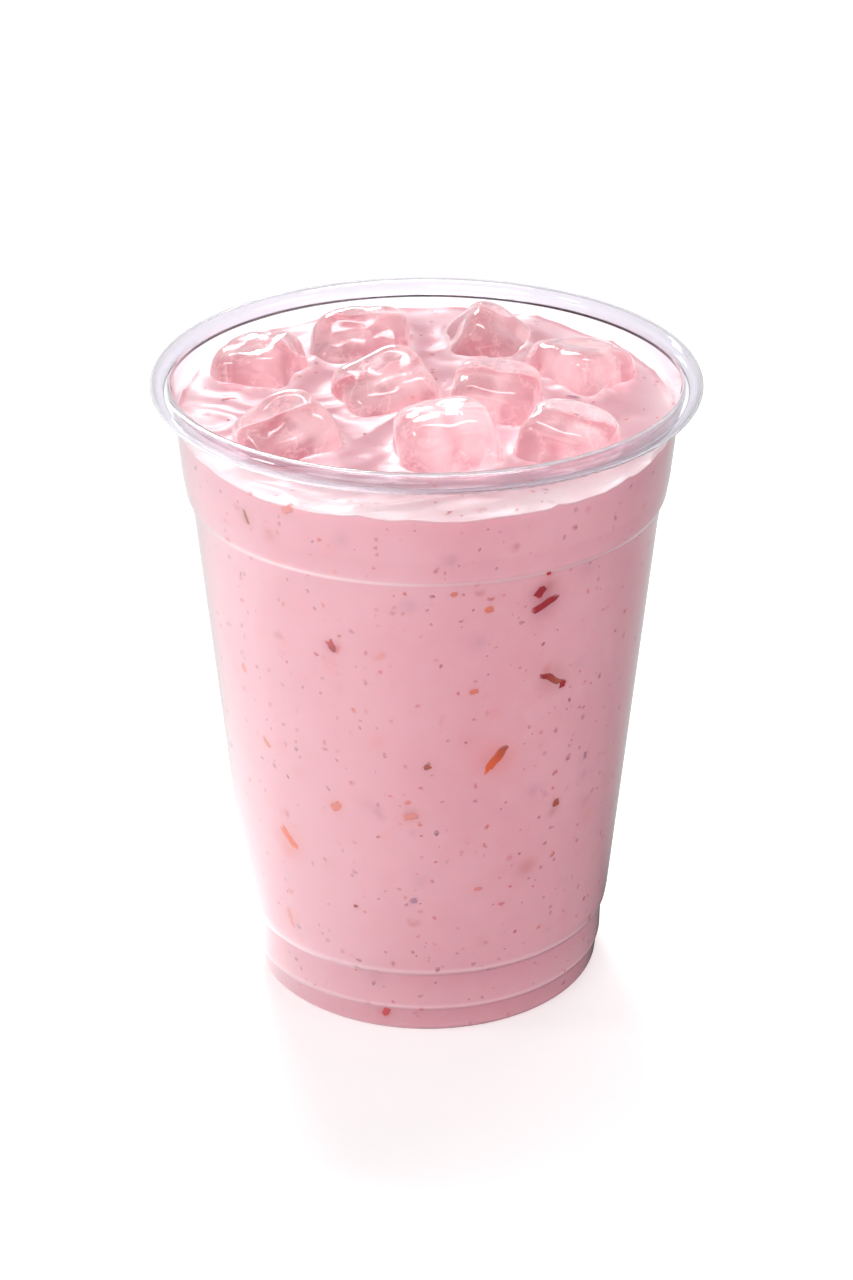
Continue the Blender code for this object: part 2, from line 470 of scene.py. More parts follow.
def shapeIce(cube, number, cuts, grow=0.0):
    bm = bmesh.new()
    bmesh.ops.create_cube(bm, size=2.0)
    bmesh.ops.subdivide_edges(bm, edges=bm.edges, cuts=cuts, use_grid_fill=True)
    power = cube["square"]
    half = Vector(cube["sides"]) / 2
    seed = Vector([number * part for part in iceSizes["seed"]])
    for vert in bm.verts:
        flat = sorted(abs(part) for part in vert.co)  # the last is 1 on every side of the cube
        middle = max(0.0, 1 - flat[1] ** 2) * max(0.0, 1 - flat[0] ** 2)
        reach = sum(abs(part) ** power for part in vert.co) ** (-1 / power)
        point = Vector([part * reach * side for part, side in zip(vert.co, half)])
        out = iceSizes["dent"][0] * noise.noise(point * iceSizes["dent"][1] + seed)
        out += iceSizes["smallDent"][0] * noise.noise(point * iceSizes["smallDent"][1] - seed)
        out -= iceSizes["hollow"] * middle ** 2
        vert.co = point + point.normalized() * out
    turn = Euler([math.radians(angle) for angle in cube["turn"]], "XYZ").to_matrix()
    bmesh.ops.rotate(bm, verts=bm.verts, cent=(0, 0, 0), matrix=turn)
    low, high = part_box(f"ice_{number}")
    top = max(vert.co.z for vert in bm.verts)
    centre = [(min(v.co[i] for v in bm.verts) + max(v.co[i] for v in bm.verts)) / 2 for i in (0, 1)]
    shift = Vector(((low[0] + high[0]) / 2 / mm - centre[0], (low[1] + high[1]) / 2 / mm - centre[1],
                    high[2] / mm - top))
    bmesh.ops.translate(bm, verts=bm.verts, vec=shift)
    bm.normal_update()
    for vert in bm.verts:
        vert.co += vert.normal * grow
    bmesh.ops.scale(bm, verts=bm.verts, vec=(mm, mm, mm))
    return bm


iceLook = {
    "colour": (1.0, 0.985, 0.985, 1),
    "veilColour": (1.0, 0.96, 0.97, 1),
    "veil": (0.42, 0.74),  # where the cloudy veils begin and are full
    "veilPatches": (95.0, 0.06),
    "patches": (160.0, 0.25),
    "veins": (0.5, 0.022),  # thin glowing lines, painted light, where the noise is near the first number
    "rim": (0.35, 0.75),  # painted highlight: it glows again where it turns away
    "turnedAway": 0.3,
    "wet": 0.7,
    "coatIor": 1.5,
    "coatRoughness": 0.03,
    "clear": 0.88,
    "veilGlow": 0.15,  # painted glow: the veils, the veins and the turned-away rim give off light
    "ior": 1.31,
    "roughness": (0.0, 0.03),
    "bump": 0.28,
    "bumpDepth": 0.001,
}


def makeIceMaterial():
    look = iceLook
    material, nodes, links = newMaterial("wetIce")
    shader = placeNode(nodes, "ShaderNodeBsdfPrincipled", 0, 0)
    setInputs(shader, {"IOR": look["ior"], "Transmission Weight": look["clear"],
                       "Coat Weight": look["wet"], "Coat IOR": look["coatIor"],
                       "Coat Roughness": look["coatRoughness"], "Emission Strength": look["veilGlow"]})
    place = objectPlace(nodes, -1200, 0)
    mask = addPatches(nodes, links, place, -950, 0, *look["patches"])
    veils = addPatches(nodes, links, place, -950, 500, *look["veilPatches"])
    cloud = mapValue(nodes, links, -600, 300, veils, look["veil"], soft=True)
    tint = mixColours(nodes, links, -350, 300, cloud, look["colour"], look["veilColour"])
    links.new(tint, shader.inputs["Base Color"])
    # painted glow: the veins, the cloudy veils and the rim where it turns away give off light
    vein = nearValue(nodes, links, -900, 700, mask, *look["veins"])
    cloudy = doMath(nodes, links, -250, 600, "MAXIMUM", vein, cloud)
    away = facingAway(nodes, -600, 900, look["turnedAway"])
    rim = mapValue(nodes, links, -400, 900, away, look["rim"])
    glowShare = doMath(nodes, links, -250, 800, "MAXIMUM", rim, cloudy)
    glow = mixColours(nodes, links, -100, 500, glowShare, (0, 0, 0, 1), look["veilColour"])
    links.new(glow, shader.inputs["Emission Color"])
    addGloss(nodes, links, mask, look["roughness"], shader)
    bump = placeNode(nodes, "ShaderNodeBump", -350, -400)
    setInputs(bump, {"Strength": look["bump"], "Distance": look["bumpDepth"]})
    links.new(mask, bump.inputs["Height"])
    links.new(bump.outputs[0], shader.inputs["Normal"])
    lampsPassThrough(nodes, links, shader)
    return material


def makeIce():
    material = makeIceMaterial()
    for number, cube in enumerate(iceCubes, 1):
        shape = shapeIce(cube, number, iceSizes["cuts"])
        addPiece(f"iceCube{number}", shape, material, [f"ice_{number}"])


# milk

milkSizes = {
    "level": 110.1,
    "rise": 2.4,  # the back edge above the middle
    "ripples": ((0.25, 0.21, 0.07, 0.4), (0.2, -0.10, 0.17, 2.1), (0.15, 0.05, 0.31, 4.0)),
    "swirl": (0.35, 0.11),
    "smallSwirl": (0.16, 0.3),
    "folds": (0.55, 0.075),
    "bend": (6, 0.06),  # how far and how close together it bends the swirls and folds
    "wallCling": (0.45, 1.1),  # height and reach of the rim of milk along the wall
    "iceCling": (0.75, 1.7),
    "intoWall": 0.12,
    "segments": 192,
    "rows": 1.1,
    "rings": 46,
    "split": 93.5,  # the layer above it takes the ice
    "splitGap": 0.3,  # no point of the wall this near to it
    "sharpAngle": 50,
}


def milkHeight(x, y, brim):
    s = milkSizes
    height = s["level"] + s["rise"] * y / cupSizes["neck"][0]
    for size, across, away, phase in s["ripples"]:
        height += size * math.sin(across * x + away * y + phase)
    bend = noise.noise(Vector((x, y, 0)) * s["bend"][1]) * s["bend"][0]
    height += s["swirl"][0] * noise.noise(Vector((x + bend, y * 1.6 - bend, 7)) * s["swirl"][1])
    height += s["smallSwirl"][0] * noise.noise(Vector((x - bend, y * 1.5, 3)) * s["smallSwirl"][1])
    fold = noise.noise(Vector((x * 0.6 + bend, y * 1.5 + bend, 11)) * s["folds"][1])
    height += s["folds"][0] * ((1 - min(1.0, abs(fold) * 3)) ** 2 - 0.3)
    fromWall = max(0.0, brim - math.hypot(x, y))
    return height + s["wallCling"][0] * math.exp(-fromWall / s["wallCling"][1])


def milkWall():
    s = milkSizes
    wall = offsetLine(cupMiddleLine(), cupSizes["wall"] / 2 - s["intoWall"])
    return [point for point in wall if point[1] < cupSizes["neckTop"][1] + 3 and point[0] < 46]


def shapeMilkTop(wall, iceTree):
    # the layer with the ice in it, closed by a flat floor that comes away later
    s = milkSizes
    brim = radiusAt(wall, s["level"])
    side = [(radiusAt(wall, s["split"]), s["split"])]
    side += [point for point in wall if s["split"] + s["splitGap"] < point[1] < s["level"] - 0.5]
    line = [(0.0, s["split"])] + spreadPoints(side + [(brim, s["level"])], s["rows"])
    line += [(brim * (1 - i / s["rings"]), s["level"]) for i in range(1, s["rings"] + 1)]
    bm = spinLine(line, s["segments"])
    for vert in bm.verts:
        x, y, z = vert.co / mm
        radius = math.hypot(x, y)
        if abs(z - s["split"]) < touching:
            continue
        if abs(z - s["level"]) < touching and radius < brim - touching:
            height = milkHeight(x, y, brim)
            near = iceTree.find_nearest(Vector((x, y, height)) * mm)
            height += s["iceCling"][0] * math.exp(-near[3] / mm / s["iceCling"][1])
            vert.co = Vector((x, y, height)) * mm
        else:
            way = Vector((x, y)) / radius
            rise = milkHeight(*(way * brim), brim) - s["split"]
            z = s["split"] + (z - s["split"]) * rise / (s["level"] - s["split"])
            vert.co = Vector((*(way * radiusAt(wall, z)), z)) * mm
    return bm


def shapeMilkBody(wall):
    s = milkSizes
    line = [point for point in wall if point[1] < s["split"] - s["splitGap"]]
    line = spreadPoints(line + [(radiusAt(wall, s["split"]), s["split"])], s["rows"])
    return spinLine(line, s["segments"])


def joinedIceTree():
    cubes = bmesh.new()
    for number, cube in enumerate(iceCubes, 1):
        joinInto(cubes, shapeIce(cube, number, iceSizes["hollowCuts"]))
    tree = BVHTree.FromBMesh(cubes)
    cubes.free()
    return tree


def cutIceHollows(top):
    cutters = bpy.data.collections.new("iceHollows")
    bpy.context.scene.collection.children.link(cutters)
    for number, cube in enumerate(iceCubes, 1):
        shape = shapeIce(cube, number, iceSizes["hollowCuts"], -iceSizes["sunk"])
        cutters.objects.link(bpy.data.objects.new("hollow", toMesh("hollow", shape)))
    mesh = toMesh("milkTop", top)
    spare = placeObject("milkTop", mesh)
    cut = spare.modifiers.new("hollows", "BOOLEAN")
    cut.operation = "DIFFERENCE"
    cut.operand_type = "COLLECTION"
    cut.collection = cutters
    cut.solver = "EXACT"
    bpy.context.view_layer.update()
    evaluated = spare.evaluated_get(bpy.context.evaluated_depsgraph_get())
    done = bmesh.new()
    done.from_mesh(evaluated.to_mesh())
    evaluated.to_mesh_clear()
    for cutter in list(cutters.objects):
        bpy.data.meshes.remove(cutter.data)
    bpy.data.collections.remove(cutters)
    bpy.data.meshes.remove(mesh)
    return done


def joinParts(top, body):
    split = milkSizes["split"]
    cap = [face for face in top.faces if all(abs(v.co.z / mm - split) < touching for v in face.verts)]
    bmesh.ops.delete(top, geom=cap, context="FACES")
    joinInto(top, body)
    bmesh.ops.remove_doubles(top, verts=top.verts, dist=0.002 * mm)
    bmesh.ops.recalc_face_normals(top, faces=top.faces)
    return top


speckLook = {
    # cells for each metre, share of cells with a speck, size against its cell, strongest share of colour
    "layers": ((420.0, 0.72, 0.36, 0.90), (170.0, 0.65, 0.28, 0.45)),
    "colours": ((0.0, (0.46, 0.20, 0.29)), (0.35, (0.50, 0.12, 0.12)), (0.6, (0.72, 0.16, 0.09)),
                (0.8, (0.60, 0.07, 0.09)), (1.0, (0.66, 0.28, 0.32))),
    "wobble": (0.7, 1.5, 2.0),  # how far against a cell, how close together, how rough
    "leastSize": 0.001,
}

milkLook = {
    "light": (0.80, 0.435, 0.495, 1),
    "dark": (0.76, 0.37, 0.43, 1),
    "spread": (0.3, 0.7),  # the patches go from dark to light between these
    "patches": (45.0, 0.35),
    "ior": 1.35,
    "specular": 0.3,
    "roughness": (0.24, 0.38),
    "subsurface": 0.35,
    "radius": (1.0, 0.45, 0.4),
    "depth": 0.003,
    "glow": (1.0, 0.86, 0.88, 1),
    # height, reach up and down, share
    "glowRings": ((0.0956, 0.0007, 0.30), (0.0057, 0.0007, 0.24), (0.0138, 0.0009, 0.26)),
    "shade": (0.60, 0.22, 0.28, 1),
    # top, reach down, share
    "shadeRings": ((0.0049, 0.0045, 0.38), (0.0127, 0.0060, 0.30), (0.1000, 0.0045, 0.10)),
    "shadeEnd": (0.0001, 0.0003),  # it stops from so far under its top to so far over it
}


def addStepRings(nodes, links, place, colour):
    # light caught along the steps of the wall, and the shade under each step
    look = milkLook
    height = splitParts(nodes, links, -2300, 2200, place)["Z"]
    for i, (at, reach, share) in enumerate(look["glowRings"]):
        band = nearValue(nodes, links, -2100, 2200 + 200 * i, height, at, reach, share)
        colour = mixColours(nodes, links, -1400 + 200 * i, 2200, band, colour, look["glow"])
    under, over = look["shadeEnd"]
    for i, (top, reach, share) in enumerate(look["shadeRings"]):
        y = 3000 + 300 * i
        fall = mapValue(nodes, links, -2100, y, height, (top - reach, top), (0.0, share))
        stop = mapValue(nodes, links, -1900, y, height, (top - under, top + over), (1.0, 0.0))
        band = doMath(nodes, links, -1700, y, "MULTIPLY", fall, stop)
        colour = mixColours(nodes, links, -800 + 200 * i, 2200, band, colour, look["shade"])
    return colour


def addSpecks(nodes, links, place, colour, layer, y):
    # soft fruit specks: each cell of the texture has one, or none, with a colour of its own
    look = speckLook
    scale, share, size, strength = layer
    far, closer, rough = look["wobble"]
    wobble = placeNode(nodes, "ShaderNodeTexNoise", -2300, y)
    setInputs(wobble, {"Scale": scale * closer, "Detail": rough})
    links.new(place, wobble.inputs["Vector"])
    bent = vectorMath(nodes, links, -2100, y, "MULTIPLY_ADD", wobble.outputs["Color"], (far / scale,) * 3,
                      place)
    cells = placeNode(nodes, "ShaderNodeTexVoronoi", -1900, y)
    cells.inputs["Scale"].default_value = scale
    links.new(bent[0], cells.inputs["Vector"])
    parts = placeNode(nodes, "ShaderNodeSeparateColor", -1700, y - 150)
    links.new(cells.outputs["Color"], parts.inputs[0])
    reach = mapValue(nodes, links, -1500, y - 150, parts.outputs["Red"], (1 - share, 1.0), (0.0, size))
    wide = doMath(nodes, links, -1400, y - 300, "MAXIMUM", reach, look["leastSize"])
    edge = mapValue(nodes, links, -1300, y, cells.outputs["Distance"], (0.0, wide), (strength, 0.0),
                    soft=True)
    shade = addRamp(nodes, links, -1300, y - 350, parts.outputs["Green"], look["colours"])
    return mixColours(nodes, links, -1000, y, edge, colour, shade)


def makeMilkMaterial():
    look = milkLook
    material, nodes, links = newMaterial("pinkMilk")
    shader = placeNode(nodes, "ShaderNodeBsdfPrincipled", 0, 0)
    setInputs(shader, {"IOR": look["ior"], "Specular IOR Level": look["specular"],
                       "Subsurface Weight": look["subsurface"], "Subsurface Radius": look["radius"],
                       "Subsurface Scale": look["depth"]})
    place = objectPlace(nodes, -2600, 0)
    mask = addPatches(nodes, links, place, -1000, 0, *look["patches"])
    colour = addRamp(nodes, links, -750, 150, mask, tuple(zip(look["spread"], (look["dark"], look["light"]))))
    stainLightAndShade = placeNode(nodes, "ShaderNodeAttribute", -750, -150, attribute_name="stainLightAndShade").outputs
    # fruit stains, and painted light and shade from the film and the hollows under the ice
    colour = mixColours(nodes, links, -400, 100, stainLightAndShade["Alpha"], colour, stainLightAndShade["Color"])
    for i, layer in enumerate(speckLook["layers"]):
        colour = addSpecks(nodes, links, place, colour, layer, 600 + 700 * i)
    links.new(addStepRings(nodes, links, place, colour), shader.inputs["Base Color"])
    addGloss(nodes, links, mask, look["roughness"], shader)
    showShader(nodes, links, shader)
    return material


# strawberry bits: turn is degrees about the cup from +X, z its height, lean from upright to the right

fruitShades = {
    "red": (0.62, 0.03, 0.045),
    "darkRed": (0.36, 0.008, 0.02),
    "orange": (0.80, 0.12, 0.035),
    "brown": (0.42, 0.08, 0.05),
    "mauve": (0.47, 0.22, 0.31),
    "rose": (0.78, 0.26, 0.24),
    "paleOrange": (0.74, 0.20, 0.15),
}

haloSizes = {"size": 1.1, "share": 0.30}  # each flake stains the milk about it

shreds = makeRows(("turn", "z", "size", "lean", "shade", "tip"), [
    (-60.5, 88.9, (5.6, 1.35), 65, "darkRed"),
    (-62.0, 91.6, (2.9, 1.7), 25, "darkRed"),
    (-60.4, 95.2, (1.5, 0.9), -10, "red"),
    (-113.8, 81.6, (2.5, 1.3), -35, "darkRed", "red"),
    (-57.0, 73.4, (5.4, 1.15), -61, "brown", "darkRed"),
    (-53.2, 71.5, (1.5, 1.3), 0, "darkRed"),
    (-71.3, 59.4, (6.4, 1.5), 40, "orange", "brown"),
    (-132.8, 37.8, (5.6, 1.4), -42, "orange"),
    (-122.0, 107.3, (2.6, 1.3), 65, "rose"),
    (-134.6, 103.2, (2.9, 0.7), -25, "brown"),
    (-75.1, 89.8, (1.7, 1.1), 70, "paleOrange"),
    (-83.5, 93.4, (1.2, 0.9), 70, "paleOrange"),
    (-78.1, 73.7, (1.7, 0.9), 80, "paleOrange"),
    (-144.7, 70.2, (1.8, 1.1), -30, "paleOrange"),
    (-138.2, 56.6, (2.1, 0.9), -40, "paleOrange"),
    (-115.5, 48.3, (2.4, 1.5), 60, "paleOrange"),
    (-94.3, 48.0, (3.0, 1.2), 80, "rose"),
    (-89.7, 58.5, (1.5, 1.1), 50, "brown"),
    (-103.2, 4.0, (2.1, 1.3), 15, "red"),
    (-93.7, 29.9, (1.3, 1.1), 80, "mauve"),
    (-111.2, 27.3, (0.9, 0.6), 80, "darkRed"),
    (-75.0, 31.8, (1.5, 0.7), 85, "rose"),
    (-51.6, 46.4, (1.7, 1.5), 0, "brown"),
    (-41.7, 54.0, (1.5, 0.8), 10, "mauve"),
    (-136.0, 19.5, (4.2, 0.8), -20, "rose"),
])

blurs = makeRows(("turn", "z", "size", "shade", "share"), [  # fruit sunk deeper, seen as a soft patch
    (-60.0, 92.6, 3.2, "brown", 0.35),
    (-112.6, 81.2, 1.6, "red", 0.5),
    (-133.5, 34.6, 3.0, "rose", 0.45),
    (-131.5, 57.9, 2.2, "rose", 0.35),
    (-94.3, 48.6, 2.6, "brown", 0.28),
    (-84.9, 100.6, 2.2, "mauve", 0.45),
    (-109.3, 103.5, 2.2, "mauve", 0.38),
    (-94.2, 91.2, 3.0, "mauve", 0.35),
    (-52.4, 44.7, 1.8, "brown", 0.35),
    (-41.7, 49.8, 1.8, "mauve", 0.35),
    (-93.7, 29.9, 1.3, "mauve", 0.5),
    (-103.2, 4.0, 1.8, "red", 0.4),
    (-115.0, 48.6, 1.9, "orange", 0.35),
])

blurSizes = {
    "seed": 5,
    "more": 110,
    "height": (6, 106),
    "reach": 2.5,  # how many of its own radii it is followed outwards
    "size": (1.3, 3.4),
    "share": (0.10, 0.30),
    "strongest": 0.8,  # of any mark: stains, film, painted light and shade
    "shades": ("mauve", "brown", "rose", "rose", "orange"),
}

# lying on the milk: x and y in millimetres, way in degrees from +X
topShreds = makeRows(("at", "size", "way", "shade"), [
    ((-7.0, -29.8), (3.4, 0.7), 40, "mauve"),
    ((-10.0, -31.5), (2.2, 0.6), 15, "darkRed"),
    ((26.3, 4.8), (2.4, 0.9), -15, "mauve"),
    ((-35.0, 4.6), (3.0, 0.6), 5, "red"),
    ((-10.8, -11.1), (0.9, 0.7), 0, "darkRed"),
    ((35.5, -3.0), (1.6, 0.6), 30, "rose"),
    ((30.0, 3.0), (1.2, 0.6), 60, "rose"),
    ((1.0, 16.0), (1.2, 0.8), 20, "red"),
    ((-34.0, -12.0), (1.4, 0.6), -30, "rose"),
])

bitSizes = {
    "seed": 12,
    "backShreds": 26,
    "backTurn": (-20, 200),
    "backHeight": (8, 104),
    "backLength": (1.2, 5.0),
    "backWidth": (0.7, 1.5),
    "backLean": (-80, 80),
    "proud": 0.10,  # out of the milk's side
    "topProud": 0.05,
    "depth": 0.35,
    "specks": 620,
    "speckHeight": (3, 107),
    "speckRadius": (0.17, 0.42),
    "speckGrowth": (0.7, 0.8, 1.0, 1.3),
    "speckLength": (1, 1.8),
    "speckShades": ("rose", "rose", "orange", "red", "brown", "brown", "mauve"),
    "speckStrength": (0.25, 0.75),
    "speckProud": 0.7,  # of what the flakes have
    "speckDepth": 0.12,
    "speckBlend": (0.62, 0.2),  # share at its middle, and more of it on the outside
    "specksOnTop": 34,
    "topReach": 42,  # from the axis
    "dropFrom": 130,  # a bit on the milk is let down from here
    "dropLeast": 106,  # lower than this it fell in a hollow
    "straight": 1e6,  # bending radius on the milk's top
    "sunkEdge": (0.55, 4),  # where the edge begins to show its own colour, and how fast
}

shredShape = {
    "ragged": (0.42, 2.4),  # how far and how close together
    "blunt": 0.9,
    "length": 0.56,
    "width": 0.62,
    "sway": (0.10, 0.5),
    "flatness": 0.5,
    "tipShade": (0.9, 0.4),
    "fineFrom": 1.4,  # longer ones have more faces
}


def wallFrame(wall, turn, z):
    # point on the milk's side, with its ways across, up and out
    angle = math.radians(turn)
    radius = radiusAt(wall, z)
    slope = radiusAt(wall, z + 0.5) - radiusAt(wall, z - 0.5)
    out = Vector((math.cos(angle), math.sin(angle), -slope)).normalized()
    across = Vector((-math.sin(angle), math.cos(angle), 0))
    up = out.cross(across)
    return Vector((radius * math.cos(angle), radius * math.sin(angle), z)), across, up, out, radius


def leanOver(across, up, lean):
    # its ways aside and along when it leans so many radians from upright to the right
    along = up * math.cos(lean) + across * math.sin(lean)
    aside = across * math.cos(lean) - up * math.sin(lean)
    return aside, along


def addShred(bm, size, place, across, up, out, bend, shade, tip, proud, colours):
    # a torn flake: a flattened ball with a ragged outline, its edge sunk in the milk
    s = shredShape
    rounds = 3 if size[0] > s["fineFrom"] else 2
    made = bmesh.ops.create_icosphere(bm, subdivisions=rounds, radius=1.0)["verts"]
    seed = Vector((place.x, place.y, place.z))
    depth = bitSizes["depth"]
    for vert in made:
        along, aside, thick = vert.co.y, vert.co.x, vert.co.z
        ofLength = along
        blunt = (max(abs(along), abs(aside)) + 0.001) / (math.hypot(along, aside) + 0.001)
        torn = noise.noise(Vector((along, aside, 0)) * s["ragged"][1] + seed)
        ragged = (1 + s["ragged"][0] * torn) / blunt ** s["blunt"]
        along *= size[0] * s["length"] * ragged
        sway = noise.noise(Vector((along * s["sway"][1], 0, 0)) + seed)
        aside = aside * size[1] * s["width"] * ragged + s["sway"][0] * size[0] * sway
        thick = math.copysign(abs(thick) ** s["flatness"], thick)
        inward = proud - depth + thick * depth
        offset = across * aside + up * along
        flatAcross = offset.dot(bend[0])
        vert.co = (place + offset + out * (inward - flatAcross ** 2 / (2 * bend[1]))) * mm
        ofTip = max(0.0, min(1.0, ofLength * s["tipShade"][0] + s["tipShade"][1]))
        colours.append((*Vector(shade).lerp(Vector(tip), ofTip), max(0.0, thick)))


def addSpeck(bm, size, place, aside, along, out, shade, colours):
    s = bitSizes
    made = bmesh.ops.create_icosphere(bm, subdivisions=1, radius=1.0)["verts"]
    for vert in made:
        thick = vert.co.z
        vert.co = (place + aside * (vert.co.x * size[1] / 2) + along * (vert.co.y * size[0] / 2)
                   + out * (s["proud"] * s["speckProud"] + (thick - 1) * s["speckDepth"])) * mm
        colours.append((*shade, s["speckBlend"][0] + s["speckBlend"][1] * thick))


bitLook = {
    "ior": 1.35,
    "subsurface": 0.2,
    "depth": 0.001,
    "patches": (500.0, 0.4),
    "tones": (0.75, 1.25),
    "toneShare": 0.6,
    "roughness": (0.3, 0.5),
}


def makeBitMaterial():
    look = bitLook
    material, nodes, links = newMaterial("strawberry")
    shader = placeNode(nodes, "ShaderNodeBsdfPrincipled", 0, 0)
    setInputs(shader, {"IOR": look["ior"], "Subsurface Weight": look["subsurface"],
                       "Subsurface Scale": look["depth"]})
    mask = addPatches(nodes, links, objectPlace(nodes, -1100, -200), -800, -200, *look["patches"])
    tone = mapValue(nodes, links, -600, -200, mask, (0.0, 1.0), look["tones"])
    tint = placeNode(nodes, "ShaderNodeAttribute", -800, 100, attribute_name="tint").outputs["Color"]
    shade = mixColours(nodes, links, -400, 100, look["toneShare"], tint, tone, "MULTIPLY")
    links.new(shade, shader.inputs["Base Color"])
    addGloss(nodes, links, mask, look["roughness"], shader)
    showShader(nodes, links, shader)
    return material


def blendShade(shade, share):
    milk = Vector(milkLook["light"][:3])
    return tuple(milk.lerp(Vector(shade), share))


def finishBits(name, bm, colours, material):
    start, fast = bitSizes["sunkEdge"]
    bmesh.ops.recalc_face_normals(bm, faces=bm.faces)
    piece = addPiece(name, bm, material)
    tint = piece.data.color_attributes.new("tint", "FLOAT_COLOR", "POINT")
    for value, (r, g, b, share) in zip(tint.data, colours):
        value.color = (*blendShade((r, g, b), min(1.0, max(0.0, share - start) * fast)), 1)


def dropOn(milkTree, x, y):
    # where a bit let down at x, y comes to lie, and the way out of the milk there
    place, out = milkTree.ray_cast(Vector((x, y, bitSizes["dropFrom"])) * mm, Vector((0, 0, -1)))[:2]
    return place / mm, out


def makeShreds(wall, milkTree, rng, material):
    s = bitSizes
    bm, colours = bmesh.new(), []
    rows = list(shreds)
    for i in range(s["backShreds"]):
        rows.append({"turn": rng.uniform(*s["backTurn"]), "z": rng.uniform(*s["backHeight"]),
                     "size": (rng.uniform(*s["backLength"]), rng.uniform(*s["backWidth"])),
                     "lean": rng.uniform(*s["backLean"]), "shade": rng.choice(list(fruitShades))})
    for row in rows:
        place, across, up, out, radius = wallFrame(wall, row["turn"], row["z"])
        aside, along = leanOver(across, up, math.radians(row["lean"]))
        addShred(bm, row["size"], place, aside, along, out, (across, radius), fruitShades[row["shade"]],
                 fruitShades[row.get("tip", row["shade"])], s["proud"], colours)
    for row in topShreds:
        way = math.radians(row["way"])
        place, out = dropOn(milkTree, *row["at"])
        along = Vector((math.cos(way), math.sin(way), 0))
        aside = Vector((-math.sin(way), math.cos(way), 0))
        shade = fruitShades[row["shade"]]
        addShred(bm, row["size"], place, aside, along, out, (along, s["straight"]), shade, shade,
                 s["topProud"], colours)
    finishBits("strawberryShreds", bm, colours, material)


def makeSpecks(wall, milkTree, rng, material):
    s = bitSizes
    bm, colours = bmesh.new(), []
    for i in range(s["specks"] + s["specksOnTop"]):
        small = rng.uniform(*s["speckRadius"]) * rng.choice(s["speckGrowth"])
        size = (small * 2 * rng.uniform(*s["speckLength"]), small * 2)
        shade = Vector(fruitShades[rng.choice(s["speckShades"])])
        shade = tuple(Vector(milkLook["dark"][:3]).lerp(shade, rng.uniform(*s["speckStrength"])))
        if i < s["specks"]:
            turn, z = rng.uniform(0, 360), rng.uniform(*s["speckHeight"])
            place, across, up, out = wallFrame(wall, turn, z)[:4]
            aside, along = leanOver(across, up, rng.uniform(0, math.pi))
        else:
            way, far = rng.uniform(0, math.tau), s["topReach"] * math.sqrt(rng.random())
            place, out = dropOn(milkTree, far * math.cos(way), far * math.sin(way))
            if place.z < s["dropLeast"]:
                continue
            aside, along = Vector((0, 1, 0)), Vector((1, 0, 0))
        addSpeck(bm, size, place, aside, along, out, shade, colours)
    finishBits("strawberrySpecks", bm, colours, material)


def makeBits(wall, milkTree):
    rng = random.Random(bitSizes["seed"])
    material = makeBitMaterial()
    makeShreds(wall, milkTree, rng, material)
    makeSpecks(wall, milkTree, rng, material)
    print("strawberry bits made")


filmAndSheenLook = {  # paler where the milk thins out up the wall and round the ice: partly thinner milk, partly painted highlight
    "colour": (1.0, 0.86, 0.88),
    "reach": 5.0,
    "frontReach": 4.0,  # so much wider at the front, towards the camera, where the pale band is painted highlight
    "share": 0.65,
    "frontShare": 0.15,
    "uneven": (0.75, 0.5, 0.12),  # least share, how much more, how close together
    "wall": 0.05,  # the wall itself has none
    "depth": 3.5,  # under the level
    "flat": 0.4,  # where the milk lies flatter than this
    "iceReach": 1.2,
    "iceShare": 0.5,
    "iceDepth": 5,
    "iceFlat": 0.3,
}

hollowLightAndShadeLook = {  # painted light and shade: pale and deep patches where the milk lies against the ice
    "reach": 0.3,
    "patches": 0.17,
    "finer": 2.3,
    "bias": 0.08,
    "contrast": 2.6,
    "pale": (1.0, 0.74, 0.77),
    "paintedShade": (0.74, 0.27, 0.33),
    "share": 0.72,
}

def addBlurs(found, piece, wall):
    rng = random.Random(blurSizes["seed"])
    rows = list(blurs)
    for row in shreds:
        rows.append({"turn": row["turn"], "z": row["z"], "size": row["size"][0] * haloSizes["size"],
                     "shade": row["shade"], "share": haloSizes["share"]})
    for i in range(blurSizes["more"]):
        rows.append({"turn": rng.uniform(0, 360), "z": rng.uniform(*blurSizes["height"]),
                     "size": rng.uniform(*blurSizes["size"]), "shade": rng.choice(blurSizes["shades"]),
                     "share": rng.uniform(*blurSizes["share"])})
    points = KDTree(len(piece.data.vertices))
    for vert in piece.data.vertices:
        points.insert(vert.co, vert.index)
    points.balance()
    for row in rows:
        place = wallFrame(wall, row["turn"], row["z"])[0] * mm
        reach = row["size"] * mm / 2
        for co, index, gap in points.find_range(place, reach * blurSizes["reach"]):
            here = row["share"] * math.exp(-(gap / reach) ** 2)
            colour, share = found.get(index, (Vector((0, 0, 0)), 0.0))
            found[index] = (colour + Vector(fruitShades[row["shade"]]) * here, share + here)


# used for the pale film and for the painted light and shade in the hollows
def setFilmSheenAndShade(found, vert, colour, share):
    found[vert.index] = (Vector(colour) * share, share + 0.0001)  # never divided by nothing


